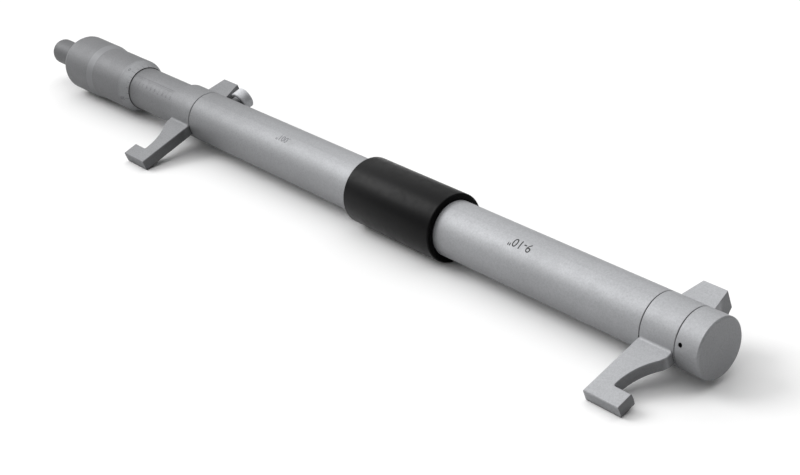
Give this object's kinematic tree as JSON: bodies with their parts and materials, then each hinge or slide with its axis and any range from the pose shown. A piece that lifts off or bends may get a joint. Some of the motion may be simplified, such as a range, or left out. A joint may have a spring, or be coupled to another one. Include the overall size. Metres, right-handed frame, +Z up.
{
  "type": "inside micrometer",
  "caption": "Inside micrometer with a long tube, hooked measuring jaws at both ends, a grip sleeve, thimble, ratchet stop and lock screw.",
  "frame": {"origin": "centre of the end cap's flat outer face, on the tube's axis", "axes": "+X along the tube out of the end cap, away from the thimble; +Z up as the tool lies on its grip and its long jaw tips, which point towards -Y"},
  "size_m": [0.327, 0.0449, 0.0214],
  "materials": {
    "satin_chrome": "bead-blasted satin chrome plating on steel",
    "tool_steel": "turned and ground steel",
    "grip_black": "black moulded plastic, satin",
    "bush_bronze": "turned bearing bronze",
    "spring_steel": "drawn spring wire"
  },
  "bodies": {
    "tube": {"main_tube": "satin_chrome", "grip_sleeve": "grip_black", "end_plug": "tool_steel", "tube_jaw": "satin_chrome", "end_cap": "satin_chrome", "jaw_dowel": "tool_steel", "thrust_bush": "bush_bronze", "bush_pin": "tool_steel", "guide_key": "tool_steel"},
    "thimble": {"spindle": "tool_steel", "thimble": "satin_chrome", "spindle_collar": "tool_steel", "collar_pin": "tool_steel", "ratchet_seat": "tool_steel", "ratchet_screw": "tool_steel"},
    "barrel": {"barrel": "tool_steel", "graduated_sleeve": "satin_chrome", "barrel_jaw": "satin_chrome", "jaw_set_screw": "tool_steel", "adjusting_nut": "tool_steel"},
    "ratchet": {"ratchet_knob": "satin_chrome", "ratchet_spring": "spring_steel"},
    "ratchet_disc": {"ratchet_disc": "tool_steel"},
    "lock_pad": {"lock_pad": "bush_bronze"},
    "lock_screw": {"lock_screw": "satin_chrome"}
  },
  "joints": [
    {"name": "thimble_turn", "type": "hinge", "parent": "tube", "child": "thimble", "pos_m": [-0.28675, 0, 0], "axis": [1, 0, 0], "range_deg": [0, 14400]},
    {"name": "barrel_slide", "type": "slide", "parent": "tube", "child": "barrel", "axis": [-1, 0, 0], "range_m": [0, 0.0254]},
    {"name": "ratchet_turn", "type": "hinge", "parent": "thimble", "child": "ratchet", "pos_m": [-0.318, 0, 0], "axis": [1, 0, 0], "continuous": true},
    {"name": "ratchet_lift", "type": "slide", "parent": "ratchet", "child": "ratchet_disc", "axis": [-1, 0, 0], "range_m": [0, 0.0005], "stiffness_N_per_m": 400, "springref_m": -0.003, "deforming": ["ratchet_spring"]},
    {"name": "lock_press", "type": "slide", "parent": "tube", "child": "lock_pad", "axis": [0, -0.9494, -0.3141], "range_m": [0, 0.00025]},
    {"name": "lock_turn", "type": "hinge", "parent": "lock_pad", "child": "lock_screw", "pos_m": [-0.2205, 0.01139, 0.00377], "axis": [0, -0.9494, -0.3141], "range_deg": [0, 180]}
  ],
  "couplings": [
    {"joint": "thimble_turn", "follows": "barrel_slide", "rad_per_m": 9894.8},
    {"joint": "lock_turn", "follows": "lock_press", "rad_per_m": 12566}
  ]
}
